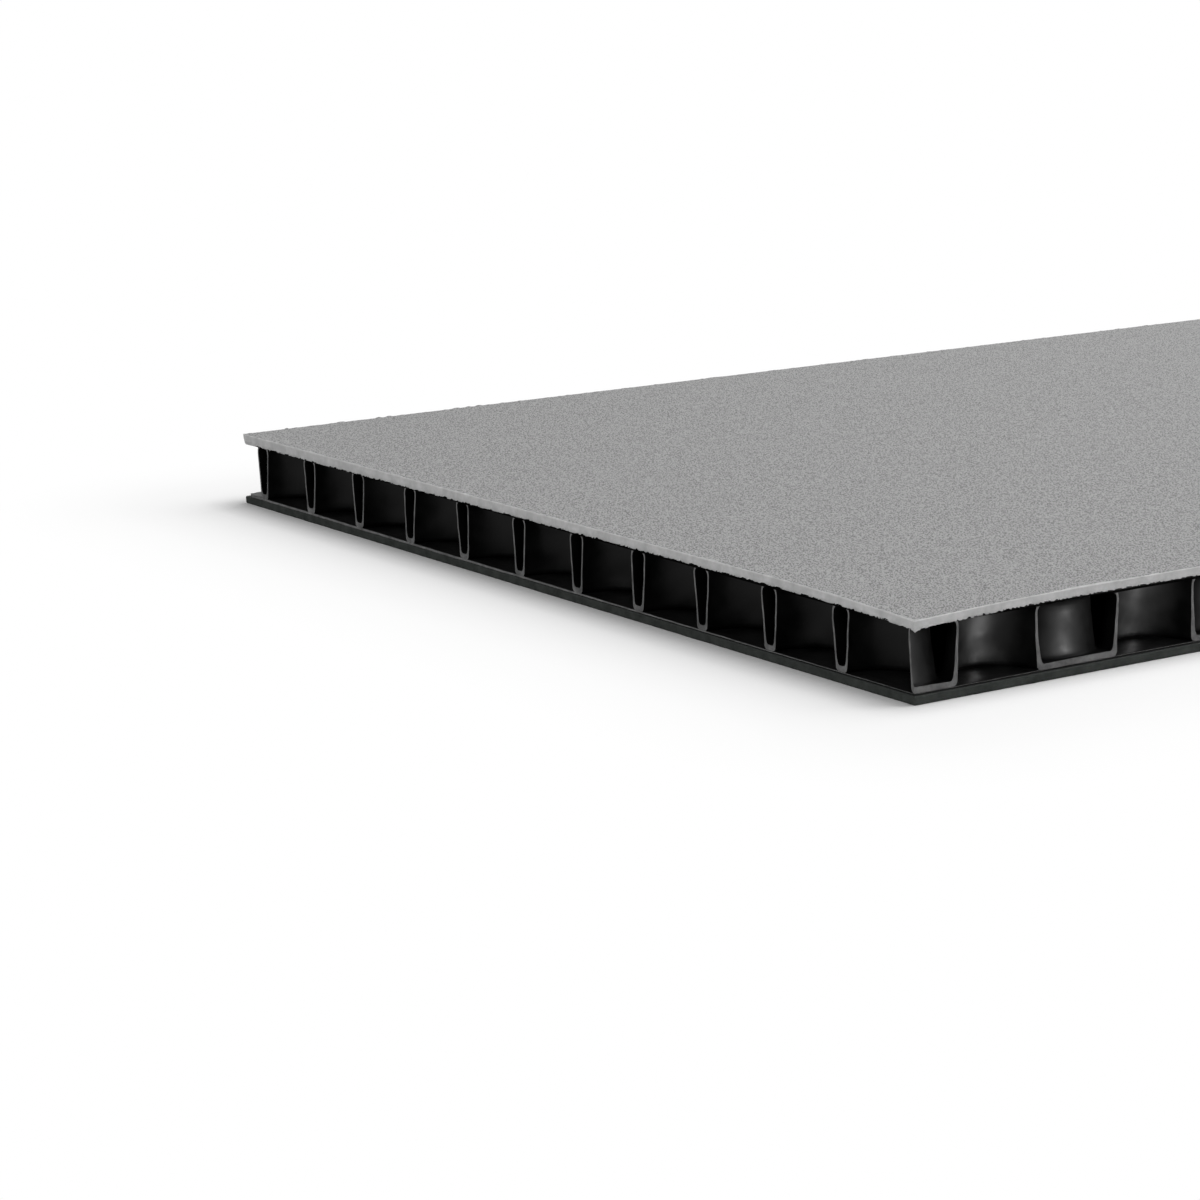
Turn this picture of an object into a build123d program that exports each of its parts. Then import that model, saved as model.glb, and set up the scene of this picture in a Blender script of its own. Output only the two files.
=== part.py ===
from build123d import *
from math import atan2, degrees, sqrt
import os

# A cut sample of polypropylene sandwich sheet: two skins on a core of formed cups.
# X runs along the length, Y across the width and Z up. The origin is the middle of
# the underside, and all sizes are in millimetres.

# The sample as it was cut
length = 195.0
width = 150.0

# The five layers, from the underside up
bottom_skin_thickness = 1.05
bottom_liner_thickness = 0.30
cup_sheet_height = 7.35
top_liner_thickness = 0.25
top_skin_thickness = 1.05

# One cup: open below, closed above, and a little wider at its mouth
cup_pitch = 13.15
mouth_radius = 5.45
crown_radius = 5.00
wall_at_mouth = 0.55
wall_at_crown = 0.40
web_thickness = 0.65
crown_thickness = 0.25

# Where the cuts met the pattern: from the sample's near corner to the first row
# of cups, and to the first cup of the staggered row behind it
first_row_x = 0.15
first_stagger_y = -0.60

# The round cups have few flat sides, and fewest where the skins hide them
edge_cup_sides = 12
hidden_cup_sides = 6

# Heights of the layers' undersides
bottom_liner_z = bottom_skin_thickness
cup_sheet_z = bottom_liner_z + bottom_liner_thickness
top_liner_z = cup_sheet_z + cup_sheet_height
top_skin_z = top_liner_z + top_liner_thickness

# Heights and drafts of a cup's outside, which stands on the web, and of its hollow
web_top_z = cup_sheet_z + web_thickness
outer_base_radius = mouth_radius + wall_at_mouth
outer_top_radius = crown_radius + wall_at_crown
outer_height = cup_sheet_height - web_thickness
outer_draft = degrees(atan2(outer_base_radius - outer_top_radius, outer_height))
hollow_height = cup_sheet_height - crown_thickness
hollow_draft = degrees(atan2(mouth_radius - crown_radius, hollow_height))

# The pattern of close-packed cups: every one that reaches into the sample
row_pitch = cup_pitch * sqrt(3) / 2
first_cup_y = first_stagger_y - cup_pitch / 2
row_count = int((length + outer_base_radius - first_row_x) / row_pitch) + 1
cups_in_row = int((width + outer_base_radius - first_cup_y) / cup_pitch) + 1
near_corner = Vector(first_row_x - length / 2, first_cup_y - width / 2)
pattern = HexLocations(cup_pitch / 2, row_count, cups_in_row, align=(Align.MIN, Align.MIN))
cup_centres = [near_corner + place.position for place in pattern.local_locations]


def is_at_a_cut(centre):
    """Says whether a cup stands within half a pitch of the outline, where it is cut open."""
    return abs(centre.X) > (length - cup_pitch) / 2 or abs(centre.Y) > (width - cup_pitch) / 2


edge_cups = [centre for centre in cup_centres if is_at_a_cut(centre)]
hidden_cups = [centre for centre in cup_centres if not is_at_a_cut(centre)]


def layer_outline(z):
    """Draws the sample's outline at one height."""
    with BuildSketch(Plane.XY.offset(z)) as outline:
        Rectangle(length, width)
    return outline.sketch


def cup_outlines(z, radius):
    """Draws every cup's outline at one height, by its radius to the flat sides."""
    with BuildSketch(Plane.XY.offset(z)) as outlines:
        with Locations(*edge_cups):
            RegularPolygon(radius, edge_cup_sides, major_radius=False)
        with Locations(*hidden_cups):
            RegularPolygon(radius, hidden_cup_sides, major_radius=False)
    return outlines.sketch


# Bottom skin
with BuildPart() as bottom_skin:
    extrude(layer_outline(0), amount=bottom_skin_thickness)
bottom_skin.part.label = "bottom_skin"

# Bottom liner, which closes the mouths of the cups
with BuildPart() as bottom_liner:
    extrude(layer_outline(bottom_liner_z), amount=bottom_liner_thickness)
bottom_liner.part.label = "bottom_liner"

# Cup sheet: cups drawn up out of a web, cut through where the sample ends, and hollow
with BuildPart() as cup_sheet:
    extrude(layer_outline(cup_sheet_z), amount=web_thickness)
    extrude(cup_outlines(web_top_z, outer_base_radius), amount=outer_height, taper=outer_draft)
    extrude(layer_outline(cup_sheet_z), amount=cup_sheet_height, mode=Mode.INTERSECT)
    extrude(cup_outlines(cup_sheet_z, mouth_radius), amount=hollow_height, taper=hollow_draft, mode=Mode.SUBTRACT)
cup_sheet.part.label = "cup_sheet"

# Top liner, which closes the grooves between the cups
with BuildPart() as top_liner:
    extrude(layer_outline(top_liner_z), amount=top_liner_thickness)
top_liner.part.label = "top_liner"

# Top skin
with BuildPart() as top_skin:
    extrude(layer_outline(top_skin_z), amount=top_skin_thickness)
top_skin.part.label = "top_skin"

os.makedirs("parts", exist_ok=True)
export_step(bottom_skin.part, "parts/bottom_skin.step")
export_step(bottom_liner.part, "parts/bottom_liner.step")
export_step(cup_sheet.part, "parts/cup_sheet.step")
export_step(top_liner.part, "parts/top_liner.step")
export_step(top_skin.part, "parts/top_skin.step")
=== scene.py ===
"""A cut sample of polypropylene sandwich sheet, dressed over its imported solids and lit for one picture."""

import math

import bmesh
import bpy
from mathutils import Matrix, Vector, noise


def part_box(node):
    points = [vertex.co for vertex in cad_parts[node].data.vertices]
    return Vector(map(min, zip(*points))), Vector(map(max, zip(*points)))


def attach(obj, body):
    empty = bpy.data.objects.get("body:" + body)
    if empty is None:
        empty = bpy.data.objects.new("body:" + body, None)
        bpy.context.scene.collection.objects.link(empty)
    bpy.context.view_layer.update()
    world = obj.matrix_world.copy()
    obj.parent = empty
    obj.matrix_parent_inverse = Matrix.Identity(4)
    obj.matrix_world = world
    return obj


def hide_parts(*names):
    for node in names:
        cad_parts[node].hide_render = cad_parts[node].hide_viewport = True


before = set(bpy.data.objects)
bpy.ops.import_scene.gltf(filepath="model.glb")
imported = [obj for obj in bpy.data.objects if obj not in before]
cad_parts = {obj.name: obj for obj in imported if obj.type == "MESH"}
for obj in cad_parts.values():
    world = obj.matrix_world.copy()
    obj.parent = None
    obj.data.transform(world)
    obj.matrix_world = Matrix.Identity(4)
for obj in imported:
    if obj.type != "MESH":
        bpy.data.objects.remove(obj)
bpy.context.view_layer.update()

MM = 0.001

# The layers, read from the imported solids
skin_low, skin_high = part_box("top_skin")
liner_low, liner_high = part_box("top_liner")
cups_low, cups_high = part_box("cup_sheet")
floor_film_low, floor_film_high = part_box("bottom_liner")
base_low, base_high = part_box("bottom_skin")
half_length = skin_high.x
half_width = skin_high.y

# The pattern of cups, as the solids have it
cup_pitch = 13.15 * MM
row_pitch = cup_pitch * math.sqrt(3) / 2
first_row_x = -half_length + 0.15 * MM
even_row_y = -half_width - 0.60 * MM - cup_pitch / 2
odd_row_y = even_row_y + cup_pitch / 2


# Small tools

def wave(point, scale, seed=0.0):
    """Smooth noise from -1 to 1 that varies over a distance of scale."""
    return noise.noise(Vector(point) / scale + Vector((seed, seed * 1.7, seed * 2.3)))


def new_piece(name, mesh_builder, materials, nodes):
    """Makes an object from a bmesh, which stands for CAD nodes and rides on the part."""
    mesh = bpy.data.meshes.new(name)
    mesh_builder.to_mesh(mesh)
    mesh_builder.free()
    for material in materials:
        mesh.materials.append(material)
    piece = bpy.data.objects.new(name, mesh)
    bpy.context.scene.collection.objects.link(piece)
    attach(piece, "root")
    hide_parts(*nodes)


def new_material(name):
    """Makes a node material, and returns it with its node tree and its shader."""
    material = bpy.data.materials.new(name)
    material.use_nodes = True
    tree = material.node_tree
    return material, tree, tree.nodes["Principled BSDF"]


def add_noise(tree, scale, detail=3.0, roughness=0.5, slant=0.0, drawn_out=1.0, upright=1.0):
    """Noise in the piece's own metres, scale being features per metre. It can be drawn out along a
    level direction, slant being its angle from X, and upright."""
    place = tree.nodes.new("ShaderNodeTexCoord")
    mapping = tree.nodes.new("ShaderNodeMapping")
    mapping.vector_type = "TEXTURE"
    mapping.inputs["Rotation"].default_value = (0, 0, slant)
    mapping.inputs["Scale"].default_value = (drawn_out, 1, upright)
    texture = tree.nodes.new("ShaderNodeTexNoise")
    texture.inputs["Scale"].default_value = scale
    texture.inputs["Detail"].default_value = detail
    texture.inputs["Roughness"].default_value = roughness
    tree.links.new(place.outputs["Object"], mapping.inputs["Vector"])
    tree.links.new(mapping.outputs["Vector"], texture.inputs["Vector"])
    return texture.outputs["Fac"]


def add_ramp(tree, value, stops):
    """Turns a value into colours or greys through a ramp of (position, colour) stops."""
    ramp = tree.nodes.new("ShaderNodeValToRGB")
    elements = ramp.color_ramp.elements
    while len(elements) < len(stops):
        elements.new(0.5)
    for element, (position, colour) in zip(elements, stops):
        element.position = position
        element.color = (*colour, 1.0)
    tree.links.new(value, ramp.inputs["Fac"])
    return ramp.outputs["Color"]


def add_bump(tree, height, strength, distance, under=None):
    """A bump whose height is distance metres at full strength, on top of another one."""
    bump = tree.nodes.new("ShaderNodeBump")
    bump.inputs["Strength"].default_value = strength
    bump.inputs["Distance"].default_value = distance
    tree.links.new(height, bump.inputs["Height"])
    if under is not None:
        tree.links.new(under, bump.inputs["Normal"])
    return bump.outputs["Normal"]


def grey(value):
    """A colour whose three parts are the same."""
    return (value, value, value)


# Materials

def grained_skin(name, dark, light, roughness, grain_height):
    """Sheet rolled with a fine pebble grain. Its colour follows the grain's height, so its pits are painted
    a little darker than its crests: painted shade in the hollows. The grain is drawn out along a slant, as
    the rolls left it."""
    material, tree, shader = new_material(name)
    pebble = add_noise(tree, 5600.0, detail=0.0, slant=math.radians(56), drawn_out=2.2)
    # The ramp follows the grain's height: painted shade, darker in the pits and lighter on the crests.
    tree.links.new(add_ramp(tree, pebble, [(0.28, dark), (0.60, light)]), shader.inputs["Base Color"])
    coarse = add_noise(tree, 520.0, detail=1.0)
    normal = add_bump(tree, coarse, 1.0, grain_height)
    normal = add_bump(tree, pebble, 1.0, grain_height, under=normal)
    tree.links.new(normal, shader.inputs["Normal"])
    shader.inputs["Roughness"].default_value = roughness
    shader.inputs["Specular IOR Level"].default_value = 0.15
    return material


def sawn_edge(name, dark, light, roughness, tooth_height):
    """The face that a saw leaves: fine upright scores and a smeared, cloudy surface without shine."""
    material, tree, shader = new_material(name)
    cloud = add_noise(tree, 700.0, detail=4.0, roughness=0.6)
    tree.links.new(add_ramp(tree, cloud, [(0.3, dark), (0.72, light)]), shader.inputs["Base Color"])
    scores = add_noise(tree, 1400.0, detail=3.0, upright=8.0)
    normal = add_bump(tree, cloud, 0.8, tooth_height)
    normal = add_bump(tree, scores, 0.6, tooth_height, under=normal)
    tree.links.new(normal, shader.inputs["Normal"])
    shader.inputs["Roughness"].default_value = roughness
    shader.inputs["Specular IOR Level"].default_value = 0.0
    return material


def drawn_plastic(name, colour, roughness, shine):
    """Black sheet drawn over a former: glossy, with long soft ripples down its walls."""
    material, tree, shader = new_material(name)
    cloud = add_noise(tree, 400.0, detail=3.0)
    tree.links.new(add_ramp(tree, cloud, [(0.35, grey(colour * 0.7)), (0.7, grey(colour * 1.5))]),
                   shader.inputs["Base Color"])
    rough = add_ramp(tree, cloud, [(0.3, grey(roughness * 0.8)), (0.7, grey(roughness * 1.25))])
    tree.links.new(rough, shader.inputs["Roughness"])
    ripple = add_noise(tree, 320.0, detail=2.0, upright=4.0)
    tree.links.new(add_bump(tree, ripple, 0.5, 0.06 * MM), shader.inputs["Normal"])
    shader.inputs["Specular IOR Level"].default_value = shine
    return material


def darken_top(material, low, high):
    """Lets a cut face's colour sink to black between two heights, and keeps it black above them."""
    tree = material.node_tree
    shader = tree.nodes["Principled BSDF"]
    colour = shader.inputs["Base Color"].links[0].from_socket
    place = tree.nodes.new("ShaderNodeTexCoord")
    height = tree.nodes.new("ShaderNodeSeparateXYZ")
    tree.links.new(place.outputs["Object"], height.inputs["Vector"])
    fade = tree.nodes.new("ShaderNodeMapRange")
    fade.inputs["From Min"].default_value = low
    fade.inputs["From Max"].default_value = high
    tree.links.new(height.outputs["Z"], fade.inputs["Value"])
    mix = tree.nodes.new("ShaderNodeMix")
    mix.data_type = "RGBA"
    mix.inputs["B"].default_value = (0.002, 0.002, 0.002, 1)
    tree.links.new(fade.outputs["Result"], mix.inputs["Factor"])
    tree.links.new(colour, mix.inputs["A"])
    tree.links.new(mix.outputs["Result"], shader.inputs["Base Color"])


grey_skin = grained_skin("grey_skin", grey(0.162), grey(0.370), 0.68, 0.03 * MM)
grey_cut = sawn_edge("grey_skin_cut", grey(0.365), grey(0.495), 0.60, 0.04 * MM)
grey_burr = sawn_edge("grey_skin_burr", grey(0.48), grey(0.66), 0.60, 0.03 * MM)
dark_skin = grained_skin("dark_skin", (0.026, 0.028, 0.027), (0.034, 0.037, 0.035), 0.6, 0.03 * MM)
dark_cut = sawn_edge("dark_skin_cut", (0.031, 0.034, 0.032), (0.055, 0.059, 0.056), 0.60, 0.05 * MM)
black_film = drawn_plastic("black_film", 0.003, 0.40, 0.08)
film_cut = sawn_edge("black_film_cut", grey(0.0005), grey(0.004), 0.80, 0.05 * MM)
seam_cut = sawn_edge("floor_film_cut", grey(0.10), grey(0.22), 0.60, 0.03 * MM)
cup_plastic = drawn_plastic("cup_plastic", 0.002, 0.45, 0.04)
cup_inside = drawn_plastic("cup_inside", 0.0015, 0.36, 0.14)
cup_cut = sawn_edge("cup_plastic_cut", grey(0.085), grey(0.18), 0.60, 0.03 * MM)
darken_top(cup_cut, cups_high.z - 0.26 * MM, cups_high.z - 0.16 * MM)


# Flat layers: slabs whose cut edges are divided finely enough to carry burrs and notches

# Which of its piece's materials a face takes
FACE, CUT, BURR = 0, 1, 2


def outline_points(corner_radius, step):
    """Points and outward directions round the sample's outline, from its near corner, evenly spaced."""
    x_centre = half_length - corner_radius
    y_centre = half_width - corner_radius
    corners = [(-1, -1, 180), (1, -1, 270), (1, 1, 0), (-1, 1, 90)]
    turns = 6
    points = []
    for index, (sx, sy, start_angle) in enumerate(corners):
        centre = Vector((sx * x_centre, sy * y_centre, 0))
        for turn in range(turns + 1):
            angle = math.radians(start_angle + 90 * turn / turns)
            outward = Vector((math.cos(angle), math.sin(angle), 0))
            points.append((centre + outward * corner_radius, outward))
        nx, ny, next_angle = corners[(index + 1) % 4]
        next_centre = Vector((nx * x_centre, ny * y_centre, 0))
        outward = Vector((math.cos(math.radians(next_angle)), math.sin(math.radians(next_angle)), 0))
        first = points[-1][0]
        last = next_centre + outward * corner_radius
        count = max(2, round((last - first).length / step))
        for part in range(1, count):
            points.append((first.lerp(last, part / count), outward))
    return points


def inset_place(place, outward, inset):
    """Moves a point of the outline inwards, and keeps it inside the corners' reach."""
    x_reach = half_length - inset
    y_reach = half_width - inset
    x = place.x - outward.x * inset
    y = place.y - outward.y * inset
    return max(-x_reach, min(x_reach, x)), max(-y_reach, min(y_reach, y))


def behind_rounding(place, rounded_from, radius):
    """Keeps a place behind the round that wore the far side's lower edge away. It starts at the height
    rounded_from, where it is deepest."""
    x, y, z = place
    above = min(radius, max(0.0, z - rounded_from))
    depth = radius - math.sqrt(radius ** 2 - (radius - above) ** 2)
    return x, min(y, half_width - depth), z


def slab(name, section, corner_radius, step, rounded_from, rounding, materials, node):
    """A flat layer. section(place, outward) gives its edge from top to underside as (inset, z, material).
    Its upright edges have a corner radius, and its far side is rounded off."""
    builder = bmesh.new()
    columns = []
    for place, outward in outline_points(corner_radius, step):
        column = []
        for inset, z, material in section(place, outward):
            spot = (*inset_place(place, outward, inset), z)
            vert = builder.verts.new(behind_rounding(spot, rounded_from, rounding))
            column.append((vert, material))
        columns.append(column)
    for index, column in enumerate(columns):
        following = columns[(index + 1) % len(columns)]
        for level, (vert, material) in enumerate(column[:-1]):
            corners = (vert, column[level + 1][0], following[level + 1][0], following[level][0])
            face = builder.faces.new(corners)
            face.material_index = material
            face.smooth = True
    builder.faces.new([column[0][0] for column in columns])
    builder.faces.new([column[-1][0] for column in reversed(columns)])
    bmesh.ops.remove_doubles(builder, verts=builder.verts, dist=1e-7)
    bmesh.ops.recalc_face_normals(builder, faces=builder.faces)
    new_piece(name, builder, materials, [node])


near_corner = Vector((-half_length, -half_width, 0))
far_corner = Vector((-half_length, half_width, 0))

# The upper skin's near corner, which the saw bent down: how far along the edges, how far down at the
# corner itself, and how far in from the edge
bend_reach = 26.0 * MM
bend_depth = 0.62 * MM
least_bend_width = 2.0 * MM
most_bend_width = 8.1 * MM
bend_widening = 9.0 * MM

# Lumps that the saw left on the far upper edge: where along X, and how wide
far_lumps = [(-90.5 * MM, 0.7 * MM), (-81.7 * MM, 1.7 * MM), (-75.4 * MM, 1.1 * MM), (-73.7 * MM, 1.2 * MM),
             (-62.3 * MM, 1.7 * MM), (-60.2 * MM, 1.1 * MM), (-58.4 * MM, 1.4 * MM)]


def burr(place, seed, rarity=0.35):
    """How far a shred of plastic stands up at a place on an edge, from 0 to 1."""
    small = max(0.0, wave(place, 0.9 * MM, seed) - 0.05)
    lump = max(0.0, wave(place, 4.5 * MM, seed + 5.0) - rarity)
    return min(1.0, 0.9 * small + 2.2 * lump)


def far_lump(place, outward):
    """How far a lump stands up at a place on the far upper edge, from 0 to 1."""
    if outward.y < 0.9:
        return 0.0
    return max(max(0.0, 1.0 - (2 * (place.x - x) / lump_width) ** 2) for x, lump_width in far_lumps)


def fray(place, seed):
    """How deeply a torn edge is notched at a place, from 0 to 1."""
    fine = wave(place, 0.24 * MM, seed)
    wide = wave(place, 0.9 * MM, seed + 3.0)
    return min(1.0, max(0.0, 0.22 + 1.1 * fine + 0.8 * wide))


def closeness(place, corner, reach):
    """How near a place is to a corner, from 0 at the reach to 1."""
    return max(0.0, 1.0 - (Vector((place.x, place.y, 0)) - corner).length / reach)


def wear(place):
    """How worn away the far corner's layers are at a place, from 0 to 1."""
    return min(1.0, 2.0 * closeness(place, far_corner, 4.0 * MM))


def share_across(place):
    """How far a place lies from the near side to the far side, from 0 to 1."""
    return (place.y + half_width) / (2 * half_width)


def droop(place):
    """How far the saw bent the upper skin's edge down at a place."""
    return bend_depth * closeness(place, near_corner, bend_reach) ** 2


def bend_width(place):
    """How far in from its edge the upper skin starts to bend down at a place. Past the most, the line
    where the bend starts would fold over itself at the corner."""
    return min(most_bend_width, least_bend_width + bend_widening * closeness(place, near_corner, bend_reach))


def top_skin_section(place, outward):
    """Grey skin: a burr along its upper edge, a torn lower lip that is smeared down at the far end,
    and a near corner that is bent down and ends in a drip of plastic."""
    burr_height = 0.12 * MM
    bent = droop(place)
    flat_top = skin_high.z - burr_height
    top = flat_top - bent
    corner_burr = closeness(place, near_corner, 2.0 * MM)
    rise = burr_height * max(burr(place, 1.0), far_lump(place, outward), corner_burr)
    roughness = 0.03 * MM * wave(place, 0.7 * MM, 2.0)
    notch = fray(place, 3.0)
    sag = 0.05 * MM * wave(place, 5.0 * MM, 4.0)
    drip = closeness(place, near_corner, 0.9 * MM)
    clean = wear(place)
    smear = 0.10 + 0.34 * share_across(place) * max(0.0, -outward.x)
    low = skin_low.z - bent - (smear + 0.22 * drip) * MM + sag * (1.0 - clean)
    return [
        (bend_width(place), flat_top, FACE),
        (0.32 * MM, top, FACE),
        (0.18 * MM, top + 0.35 * rise, FACE),
        (0.10 * MM, top + rise, BURR),
        (0.02 * MM, top + rise - 0.05 * MM, BURR),
        (0.02 * MM + abs(roughness), top - 0.10 * MM, CUT),
        (0.05 * MM + roughness, skin_low.z - bent + 0.60 * MM, CUT),
        (0.05 * MM - roughness, skin_low.z - bent + 0.34 * MM, CUT),
        (0.04 * MM, low + 0.32 * MM * notch * (1.0 - max(drip, clean)), BURR),
        (0.24 * MM, low + 0.02 * MM, FACE),
        (2.00 * MM, skin_low.z, FACE),
    ]


def bottom_skin_section(place, outward):
    """Near-black skin: its lower edge is ragged with shreds that the saw pushed down, the longest of
    which reach the height of the solid's underside."""
    shred_length = 0.04 * MM
    drop = shred_length * burr(place, 11.0, 0.10)
    notch = fray(place, 14.0)
    roughness = 0.04 * MM * wave(place, 0.7 * MM, 12.0)
    under = base_low.z + shred_length
    top = base_high.z
    return [
        (2.20 * MM, top, FACE),
        (0.20 * MM, top - 0.02 * MM, FACE),
        (0.08 * MM + abs(roughness), top - 0.08 * MM, CUT),
        (0.05 * MM + roughness, top - 0.30 * MM, CUT),
        (0.05 * MM - roughness, under + 0.26 * MM, CUT),
        (0.03 * MM, under + 0.04 * MM - 0.6 * drop + 0.10 * MM * notch, CUT),
        (0.10 * MM, under - drop, CUT),
        (0.22 * MM, under - 0.3 * drop, FACE),
        (0.40 * MM, under, FACE),
        (2.20 * MM, under, FACE),
    ]


def top_liner_section(place, outward):
    """Upper film: shreds of it hang below its cut edge, and it is torn away at the far corner."""
    hang = 0.5 + 0.5 * wave(place, 0.5 * MM, 21.0)
    long_shred = max(0.0, wave(place, 1.6 * MM, 22.0) - 0.25)
    drop = (0.06 * hang + 0.35 * long_shred) * MM
    out = 0.05 * MM * wave(place, 0.6 * MM, 23.0)
    torn = 2.5 * MM * wear(place)
    return [
        (1.20 * MM + torn, liner_high.z, FACE),
        (0.14 * MM + out + torn, liner_high.z, FACE),
        (0.10 * MM + out + torn, liner_low.z + 0.12 * MM, CUT),
        (0.12 * MM + out + torn, liner_low.z - drop, CUT),
        (0.24 * MM + out + torn, liner_low.z - 0.5 * drop, CUT),
        (0.40 * MM + torn, liner_low.z, FACE),
        (1.20 * MM + torn, liner_low.z, FACE),
    ]


def bottom_liner_section(place, outward):
    """Lower film: a pale cut line over a dark seam where it parted from the skin. The line is
    broadest at the far end of the side along Y."""
    out = 0.04 * MM * wave(place, 0.8 * MM, 31.0)
    lift = 0.04 * MM * wave(place, 3.0 * MM, 32.0)
    broad = max(0.0, -outward.x) * min(1.0, 1.6 * share_across(place))
    line = (0.06 + 0.26 * broad) * MM + 0.02 * MM * wave(place, 0.5 * MM, 33.0)
    lift += 0.06 * MM * broad
    torn = 0.8 * MM * closeness(place, far_corner, 2.0 * MM)
    return [
        (1.40 * MM, floor_film_high.z, FACE),
        (0.14 * MM + out + torn, floor_film_high.z + lift, FACE),
        (0.05 * MM + out + torn, floor_film_high.z - 0.03 * MM + lift, CUT),
        (0.05 * MM + out + torn, floor_film_high.z - line + lift, CUT),
        (0.50 * MM + torn, floor_film_high.z - line, FACE),
        (0.60 * MM + torn, floor_film_low.z, FACE),
        (1.40 * MM, floor_film_low.z, FACE),
    ]


slab("top_skin_sheet", top_skin_section, corner_radius=0.15 * MM, step=0.15 * MM,
     rounded_from=skin_low.z - 0.35 * MM, rounding=0.70 * MM,
     materials=[grey_skin, grey_cut, grey_burr], node="top_skin")
slab("bottom_skin_sheet", bottom_skin_section, corner_radius=0.15 * MM, step=0.20 * MM,
     rounded_from=base_low.z - 0.10 * MM, rounding=0.90 * MM,
     materials=[dark_skin, dark_cut], node="bottom_skin")
slab("top_film", top_liner_section, corner_radius=0.35 * MM, step=0.20 * MM,
     rounded_from=liner_high.z, rounding=1.1 * MM,
     materials=[black_film, film_cut], node="top_liner")
slab("bottom_film", bottom_liner_section, corner_radius=0.35 * MM, step=0.25 * MM,
     rounded_from=floor_film_low.z - 0.2 * MM, rounding=0.2 * MM,
     materials=[black_film, seam_cut], node="bottom_liner")


# Cup sheet: one cup on its six-sided tile, repeated, made uneven, cut off at the four sides and capped

# How many steps a cup's round is drawn in
TURNS = 30

# Which material a cup's wall takes, where CUT is that of its cut ends
OUTSIDE, INSIDE = 0, 2

web_thickness = 0.65 * MM
web_top = cups_low.z + web_thickness


def tile_radius(angle):
    """How far a six-sided tile reaches from its cup's centre at an angle."""
    from_flat = (math.degrees(angle) % 60) - 30
    return cup_pitch / 2 / math.cos(math.radians(from_flat))


def cup_profile(fine):
    """A cup's section from the tile's rim up its outside, over the crown and down its inside to the rim.
    Each step is a radius in millimetres, where None means the tile's rim, a height in metres, and how
    many millimetres longer the cup is along X. Only a fine section has flared and rounded ends."""
    bottom = cups_low.z
    top = cups_high.z
    fine_outside = [
        (None, web_top, 0), (6.34, web_top, 0.36), (6.12, web_top + 0.05 * MM, 0.42),
        (5.98, web_top + 0.18 * MM, 0.46), (5.87, web_top + 0.42 * MM, 0.46),
        (5.79, web_top + 0.9 * MM, 0.44), (5.72, web_top + 1.5 * MM, 0.42),
        (5.63, web_top + 2.4 * MM, 0.39), (5.54, web_top + 3.3 * MM, 0.37),
        (5.46, web_top + 4.2 * MM, 0.35), (5.39, web_top + 5.1 * MM, 0.33),
        (5.34, top - 0.95 * MM, 0.33), (5.37, top - 0.60 * MM, 0.33), (5.48, top - 0.36 * MM, 0.33),
        (5.72, top - 0.16 * MM, 0.33), (5.98, top - 0.04 * MM, 0.33), (6.10, top, 0.30),
        (5.2, top, 0.30), (0.0, top, 0),
    ]
    fine_inside = [
        (0.0, top - 0.16 * MM, 0), (5.20, top - 0.16 * MM, 0.30), (5.22, top - 0.28 * MM, 0.30),
        (5.13, top - 0.55 * MM, 0.30), (5.09, top - 0.95 * MM, 0.30),
        (5.13, web_top + 5.1 * MM, 0.30), (5.20, web_top + 4.2 * MM, 0.28),
        (5.28, web_top + 3.3 * MM, 0.26), (5.37, web_top + 2.4 * MM, 0.23),
        (5.45, web_top + 1.5 * MM, 0.20), (5.51, web_top + 0.9 * MM, 0.16),
        (5.56, bottom + 0.75 * MM, 0.12), (5.60, bottom + 0.40 * MM, 0.12),
        (5.74, bottom + 0.14 * MM, 0.12), (5.96, bottom + 0.02 * MM, 0.12),
        (6.20, bottom, 0.12), (None, bottom, 0),
    ]
    plain_outside = [
        (None, web_top, 0), (5.98, web_top, 0.46), (5.38, top, 0.33), (0.0, top, 0),
    ]
    plain_inside = [
        (0.0, top - 0.25 * MM, 0), (5.06, top - 0.26 * MM, 0.30), (5.60, bottom, 0.12), (None, bottom, 0),
    ]
    if fine:
        return fine_outside, fine_inside
    return plain_outside, plain_inside


def grid_key(place):
    """A place rounded to a fiftieth of a millimetre, to find the same place again."""
    return tuple(round(value / (0.02 * MM)) for value in place)


def find_near(grid, key):
    """The vertex kept at a key or right beside it, if there is one."""
    for dx in (0, -1, 1):
        for dy in (0, -1, 1):
            if (key[0] + dx, key[1] + dy, key[2]) in grid:
                return grid[(key[0] + dx, key[1] + dy, key[2])]
    return None


def add_ring(builder, centre, step, grid):
    """Adds the vertices of one step of the section, turned about the cup's centre."""
    radius, height, longer = step
    if radius == 0.0:
        return [builder.verts.new((centre.x, centre.y, height))]
    ring = []
    for turn in range(TURNS):
        angle = 2 * math.pi * turn / TURNS
        if radius is None:
            reach = tile_radius(angle)
        else:
            reach = (radius + longer * math.cos(angle) ** 2) * MM
        place = (centre.x + reach * math.cos(angle), centre.y + reach * math.sin(angle), height)
        vert = find_near(grid, grid_key(place)) if radius is None else None
        if vert is None:
            vert = builder.verts.new(place)
        if radius is None:
            grid[grid_key(place)] = vert
        ring.append(vert)
    return ring


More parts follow.
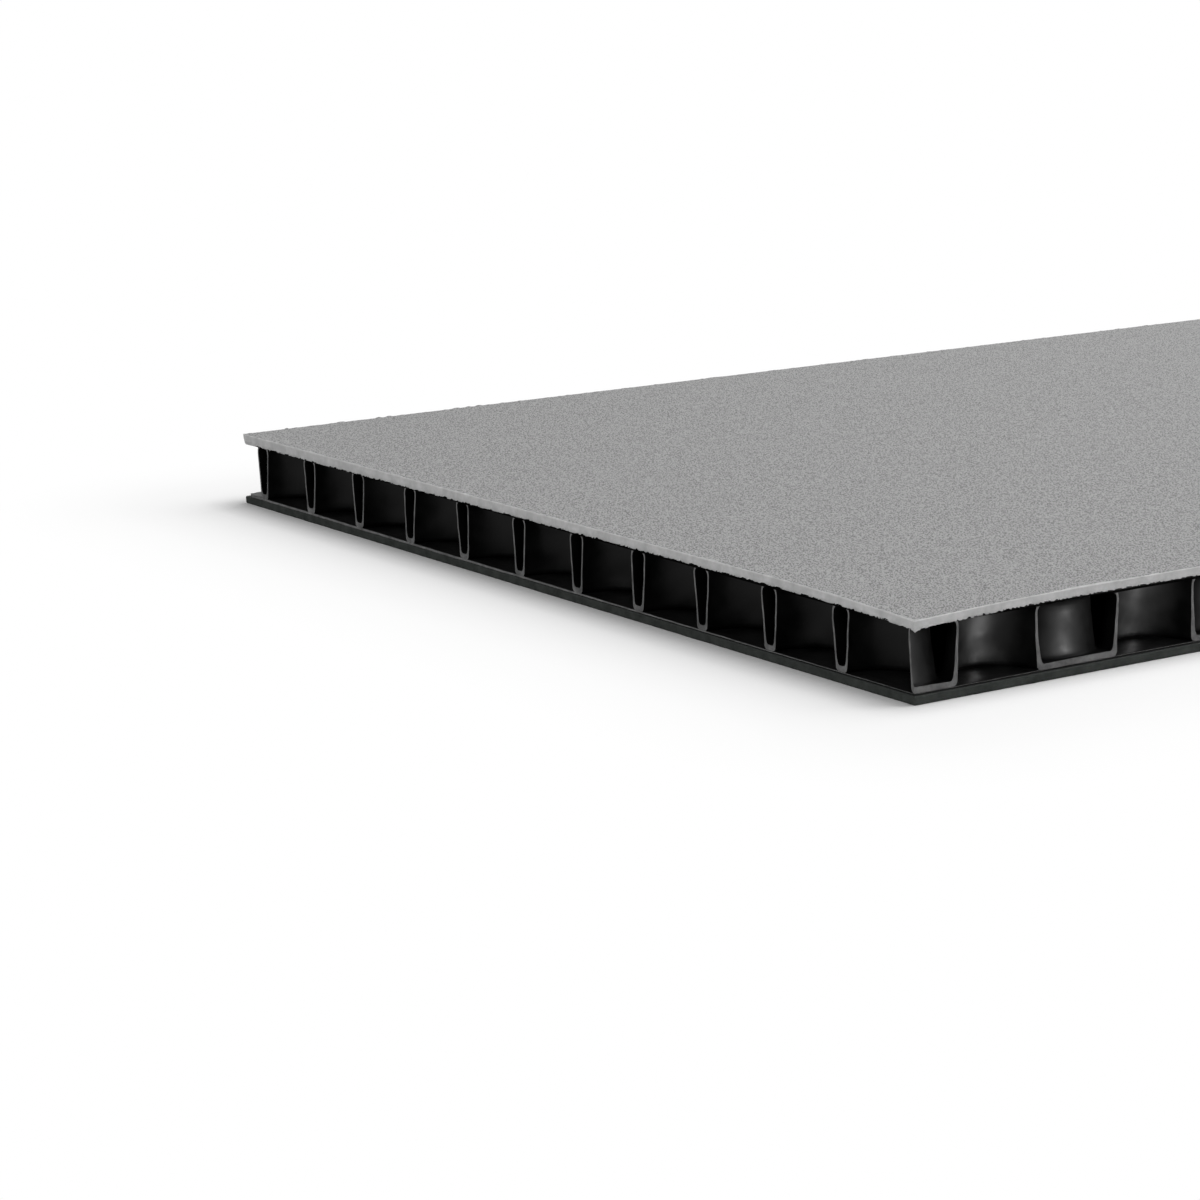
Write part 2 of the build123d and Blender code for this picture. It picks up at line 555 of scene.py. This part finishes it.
def add_cup(builder, centre, fine, grid):
    """Adds one cup with its tile. grid holds the rim's vertices, which neighbours share."""
    outside, inside = cup_profile(fine)
    steps = outside + inside
    rings = [add_ring(builder, centre, step, grid) for step in steps]
    for level, (upper, lower) in enumerate(zip(rings, rings[1:])):
        if len(upper) == 1 and len(lower) == 1:
            continue
        for turn in range(TURNS):
            after = (turn + 1) % TURNS
            if len(upper) == 1:
                corners = (upper[0], lower[after], lower[turn])
            elif len(lower) == 1:
                corners = (upper[turn], upper[after], lower[0])
            else:
                corners = (upper[turn], upper[after], lower[after], lower[turn])
            face = builder.faces.new(corners)
            face.smooth = True
            face.material_index = OUTSIDE if level < len(outside) else INSIDE


def close_rim(builder, grid):
    """Walls in the outermost tiles' rims, so that the sheet is closed before it is cut."""
    for edge in [edge for edge in builder.edges if edge.is_boundary]:
        if min(vert.co.z for vert in edge.verts) < web_top - 0.01 * MM:
            continue
        below = []
        for vert in edge.verts:
            key = grid_key((vert.co.x, vert.co.y, cups_low.z))
            below.append(find_near(grid, key))
        builder.faces.new((edge.verts[0], edge.verts[1], below[1], below[0]))


def wear_far_corner(builder):
    """Rounds the sheet off under the skins' rounded far corner."""
    for vert in builder.verts:
        near = closeness(vert.co, far_corner, 3.0 * MM)
        if vert.co.z > cups_high.z - 0.6 * MM:
            vert.co.y -= 1.3 * MM * near
        elif vert.co.z < web_top + 0.1 * MM:
            vert.co.y -= 0.6 * MM * near


def make_uneven(builder):
    """Draws the walls sideways a little out of true, as formed and fused plastic is, and the web's
    upper side up and down."""
    slow_scale = 26.0 * MM
    for vert in builder.verts:
        spot = vert.co.copy()
        vert.co.y += 0.33 * MM * math.cos((spot.y + half_width) / slow_scale)
        for axis, seed in ((0, 41.0), (1, 47.0)):
            vert.co[axis] += 0.26 * MM * wave(spot, 7.0 * MM, seed)
            vert.co[axis] += 0.10 * MM * wave(spot, 2.2 * MM, seed + 2.0)
            vert.co[axis] += 0.07 * MM * wave(spot, 0.8 * MM, seed + 3.0)
        if abs(spot.z - web_top) < 0.5 * MM:
            vert.co.z += 0.10 * MM * wave(spot, 3.0 * MM, 53.0)


def cut_and_cap(builder, place, outward):
    """Cuts the sheet off beyond a plane and closes the cut with flat faces of the cut's material."""
    everything = list(builder.verts) + list(builder.edges) + list(builder.faces)
    cut = bmesh.ops.bisect_plane(builder, geom=everything, plane_co=place, plane_no=outward,
                                 clear_outer=True, dist=1e-7)
    rim = [part for part in cut["geom_cut"] if isinstance(part, bmesh.types.BMEdge)]
    filled = bmesh.ops.triangle_fill(builder, edges=rim, use_beauty=True, normal=outward)
    for part in filled["geom"]:
        if isinstance(part, bmesh.types.BMFace):
            part.material_index = CUT
            part.smooth = False


def lies_beyond(centre, margin):
    """Says whether a cup's centre lies more than a margin outside the sample's outline."""
    return abs(centre.x) > half_length + margin or abs(centre.y) > half_width + margin


def build_cup_sheet():
    """Builds the whole sheet of cups inside the sample's outline, fine where the cuts show them."""
    builder = bmesh.new()
    grid = {}
    left_out_beyond = 0.9 * cup_pitch
    fine_beyond = -0.8 * cup_pitch
    cut_inset = 0.06 * MM
    rows = int(2 * half_length / row_pitch) + 3
    columns = int(2 * half_width / cup_pitch) + 4
    for row in range(-1, rows):
        x = first_row_x + row * row_pitch
        start = even_row_y if row % 2 == 0 else odd_row_y
        for column in range(-1, columns):
            centre = Vector((x, start + column * cup_pitch, 0))
            if not lies_beyond(centre, left_out_beyond):
                add_cup(builder, centre, lies_beyond(centre, fine_beyond), grid)
    close_rim(builder, grid)
    make_uneven(builder)
    for outward, distance in ((Vector((1, 0, 0)), half_length), (Vector((0, 1, 0)), half_width)):
        for side in (-1, 1):
            normal = outward * side
            cut_and_cap(builder, normal * (distance - cut_inset), normal)
    wear_far_corner(builder)
    bmesh.ops.recalc_face_normals(builder, faces=builder.faces)
    for edge in builder.edges:
        if len({face.material_index == CUT for face in edge.link_faces}) == 2:
            edge.smooth = False
    new_piece("cup_core", builder, [cup_plastic, cup_cut, cup_inside], ["cup_sheet"])


build_cup_sheet()


# Floor

def math_node(tree, operation, first, second):
    """One sum on values or sockets."""
    node = tree.nodes.new("ShaderNodeMath")
    node.operation = operation
    for socket, value in zip(node.inputs, (first, second)):
        if isinstance(value, (int, float)):
            socket.default_value = value
        else:
            tree.links.new(value, socket)
    return node.outputs["Value"]


def seen_directly(tree):
    """1 for what the eye sees, also in a reflection, and 0 for what lights the part."""
    path = tree.nodes.new("ShaderNodeLightPath")
    seen = math_node(tree, "MAXIMUM", path.outputs["Is Camera Ray"], path.outputs["Is Glossy Ray"])
    return math_node(tree, "MAXIMUM", seen, path.outputs["Is Transmission Ray"])


def distance_from_part(tree):
    """How far a place on the floor lies outside the part's outline, in metres."""
    place = tree.nodes.new("ShaderNodeTexCoord")
    axes = tree.nodes.new("ShaderNodeSeparateXYZ")
    tree.links.new(place.outputs["Object"], axes.inputs["Vector"])
    beyond = []
    for axis, half_side in (("X", half_length), ("Y", half_width)):
        gap = math_node(tree, "SUBTRACT", math_node(tree, "ABSOLUTE", axes.outputs[axis], 0.0), half_side)
        gap = math_node(tree, "MAXIMUM", gap, 0.0)
        beyond.append(math_node(tree, "MULTIPLY", gap, gap))
    return math_node(tree, "SQRT", math_node(tree, "ADD", *beyond), 0.0)


# Distances from the part in millimetres, and how far the floor has faded to white there. The stops shape the
# part's shadow: its dark near the part is real shade, and its fading into white is painted.
floor_fades = [(0.6, 0.0), (3.8, 0.37), (6.4, 0.54), (10.6, 0.60), (16.0, 0.70), (21.0, 0.84),
               (27.0, 0.94), (34.0, 1.0)]


def fade_to_white(tree, shader):
    """Shows the floor as plain white, to the eye and in reflections, away from the part's shadow. The ramp
    paints how that shadow fades into the white.
    """
    fade_width = floor_fades[-1][0] * MM
    share = math_node(tree, "DIVIDE", distance_from_part(tree), fade_width)
    stops = [(width * MM / fade_width, grey(faded)) for width, faded in floor_fades]
    spread = add_ramp(tree, share, stops)
    white = tree.nodes.new("ShaderNodeEmission")
    white.inputs["Color"].default_value = (1, 1, 1, 1)
    white.inputs["Strength"].default_value = 1.0
    mix = tree.nodes.new("ShaderNodeMixShader")
    tree.links.new(math_node(tree, "MULTIPLY", spread, seen_directly(tree)), mix.inputs["Fac"])
    tree.links.new(shader.outputs["BSDF"], mix.inputs[1])
    tree.links.new(white.outputs["Emission"], mix.inputs[2])
    tree.links.new(mix.outputs["Shader"], tree.nodes["Material Output"].inputs["Surface"])


def build_floor():
    """A wide white floor that shows as white to the camera and still holds the shadow."""
    builder = bmesh.new()
    reach = 3.0
    bmesh.ops.create_grid(builder, x_segments=8, y_segments=8, size=reach)
    mesh = bpy.data.meshes.new("floor")
    builder.to_mesh(mesh)
    builder.free()
    material, tree, shader = new_material("floor_white")
    cloud = add_noise(tree, 4.0, detail=2.0)
    paint = add_ramp(tree, cloud, [(0.3, grey(0.93)), (0.7, grey(0.96))])
    tree.links.new(paint, shader.inputs["Base Color"])
    shader.inputs["Roughness"].default_value = 0.8
    shader.inputs["Specular IOR Level"].default_value = 0.2
    fade_to_white(tree, shader)
    mesh.materials.append(material)
    floor = bpy.data.objects.new("floor", mesh)
    bpy.context.scene.collection.objects.link(floor)


build_floor()


# Light

def build_world(strength):
    """Even light from all round, which the eye sees as white past the floor."""
    world = bpy.data.worlds.new("studio")
    bpy.context.scene.world = world
    world.use_nodes = True
    tree = world.node_tree
    plain = tree.nodes["Background"]
    plain.inputs["Color"].default_value = (1, 1, 1, 1)
    plain.inputs["Strength"].default_value = strength
    seen = tree.nodes.new("ShaderNodeBackground")
    seen.inputs["Color"].default_value = (1, 1, 1, 1)
    seen.inputs["Strength"].default_value = 1.0
    mix = tree.nodes.new("ShaderNodeMixShader")
    tree.links.new(seen_directly(tree), mix.inputs["Fac"])
    tree.links.new(plain.outputs["Background"], mix.inputs[1])
    tree.links.new(seen.outputs["Background"], mix.inputs[2])
    tree.links.new(mix.outputs["Shader"], tree.nodes["World Output"].inputs["Surface"])


def add_softbox(name, place, target, size, power, lights_matt=True):
    """A soft lamp at a place, facing a target. It can be one that only shows in glossy faces."""
    lamp = bpy.data.lights.new(name, "AREA")
    lamp.shape = "RECTANGLE"
    lamp.size, lamp.size_y = size
    lamp.energy = power
    holder = bpy.data.objects.new(name, lamp)
    bpy.context.scene.collection.objects.link(holder)
    holder.location = place
    holder.visible_camera = False
    holder.visible_diffuse = lights_matt
    holder.rotation_euler = (Vector(target) - Vector(place)).to_track_quat("-Z", "Y").to_euler()


build_world(0.24)
add_softbox("key", (0.62, -0.10, 0.76), (0, 0, 0), (0.8, 0.8), 9.0)
add_softbox("left", (-1.00, -0.35, 0.48), (-0.09, 0, 0), (0.8, 0.5), 4.2)
add_softbox("front_right", (0.10, -0.84, 0.10), (-0.07, -0.07, 0.005), (0.34, 0.12), 0.25)
add_softbox("side_strip", (0.18, -0.93, 0.11), (-0.08, -0.075, 0.005), (0.22, 0.14), 46.0,
            lights_matt=False)


# Camera, as fitted to the edges and the cups in the photograph

def build_camera():
    """Stands the camera where the photograph was taken from."""
    eye = Vector((-0.32253, -0.35299, 0.08956))
    yaw = math.radians(56.338)
    pitch = math.radians(12.262)
    roll = math.radians(-1.015)
    forward = Vector((math.cos(pitch) * math.cos(yaw), math.cos(pitch) * math.sin(yaw), -math.sin(pitch)))
    level_right = forward.cross(Vector((0, 0, 1))).normalized()
    level_up = level_right.cross(forward)
    right = level_right * math.cos(roll) + level_up * math.sin(roll)
    up = -level_right * math.sin(roll) + level_up * math.cos(roll)
    data = bpy.data.cameras.new("camera")
    data.sensor_width = 36.0
    data.sensor_height = 36.0
    data.lens = 103.65
    data.clip_start = 0.01
    camera = bpy.data.objects.new("camera", data)
    bpy.context.scene.collection.objects.link(camera)
    turn = Matrix((right, up, -forward)).transposed().to_4x4()
    camera.matrix_world = Matrix.Translation(eye) @ turn
    bpy.context.scene.camera = camera


build_camera()

bpy.context.scene.view_settings.view_transform = "Standard"
